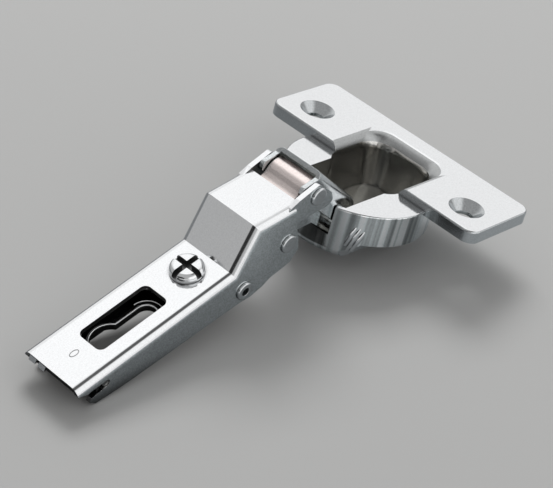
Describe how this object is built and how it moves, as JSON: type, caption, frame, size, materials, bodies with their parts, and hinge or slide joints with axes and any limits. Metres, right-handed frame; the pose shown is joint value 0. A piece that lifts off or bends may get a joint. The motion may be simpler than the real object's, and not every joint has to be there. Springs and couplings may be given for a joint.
{
  "type": "concealed cup hinge",
  "caption": "Concealed cup hinge for a cabinet door: a bored cup with mounting wings, a cranked clip-on arm, crossed links and a leaf spring, opened by 110 degrees.",
  "frame": {"origin": "on the cup's axis, at the face of the door that the wings lie on", "axes": "+Z out of the cup's mouth, +X from the arm towards the wings, +Y along the wings"},
  "size_m": [0.111, 0.0608, 0.0372],
  "materials": {
    "bright_nickel": "bright nickel plate on pressed steel",
    "satin_nickel": "nickel plate on pressed steel, a little duller on the sides",
    "rivet_steel": "nickel-plated steel rivet",
    "copper_plate": "pale copper-plated spring steel"
  },
  "bodies": {
    "cup": {"cup": "bright_nickel", "cup_pin": "rivet_steel", "left_stub_rivet": "rivet_steel", "right_stub_rivet": "rivet_steel"},
    "outer_link": {"outer_link": "bright_nickel"},
    "inner_link": {"inner_link": "satin_nickel"},
    "arm": {"arm": "satin_nickel", "front_rivet": "rivet_steel", "middle_rivet": "rivet_steel", "eyelet_rivet": "rivet_steel", "leaf_spring": "copper_plate"},
    "adapter": {"adapter": "satin_nickel"},
    "side_screw": {"side_screw": "bright_nickel"}
  },
  "joints": [
    {"name": "door_swing", "type": "hinge", "parent": "cup", "child": "outer_link", "pos_m": [-0.01095, 0, -0.00313], "axis": [0, 1, 0], "range_deg": [0, 122.5]},
    {"name": "arm_turn", "type": "hinge", "parent": "outer_link", "child": "arm", "pos_m": [-0.0254, 0, 0.0071], "axis": [0, 1, 0], "range_deg": [-12.5, 0]},
    {"name": "inner_link_swing", "type": "hinge", "parent": "cup", "child": "inner_link", "pos_m": [-0.01005, 0, -0.00779], "axis": [0, 1, 0], "range_deg": [0, 99]},
    {"name": "side_screw_turn", "type": "hinge", "parent": "arm", "child": "side_screw", "pos_m": [-0.05256, 0, -0.00795], "axis": [-0.342, 0, 0.9397], "range_deg": [-450, 450]},
    {"name": "adapter_tilt", "type": "hinge", "parent": "arm", "child": "adapter", "pos_m": [-0.07917, 0, -0.02136], "axis": [0, 1, 0], "range_deg": [-2.25, 2.25]}
  ],
  "couplings": [
    {"joint": "arm_turn", "follows": "door_swing", "ratio": -0.10204},
    {"joint": "inner_link_swing", "follows": "door_swing", "ratio": 0.80816},
    {"joint": "adapter_tilt", "follows": "side_screw_turn", "ratio": 0.005}
  ]
}
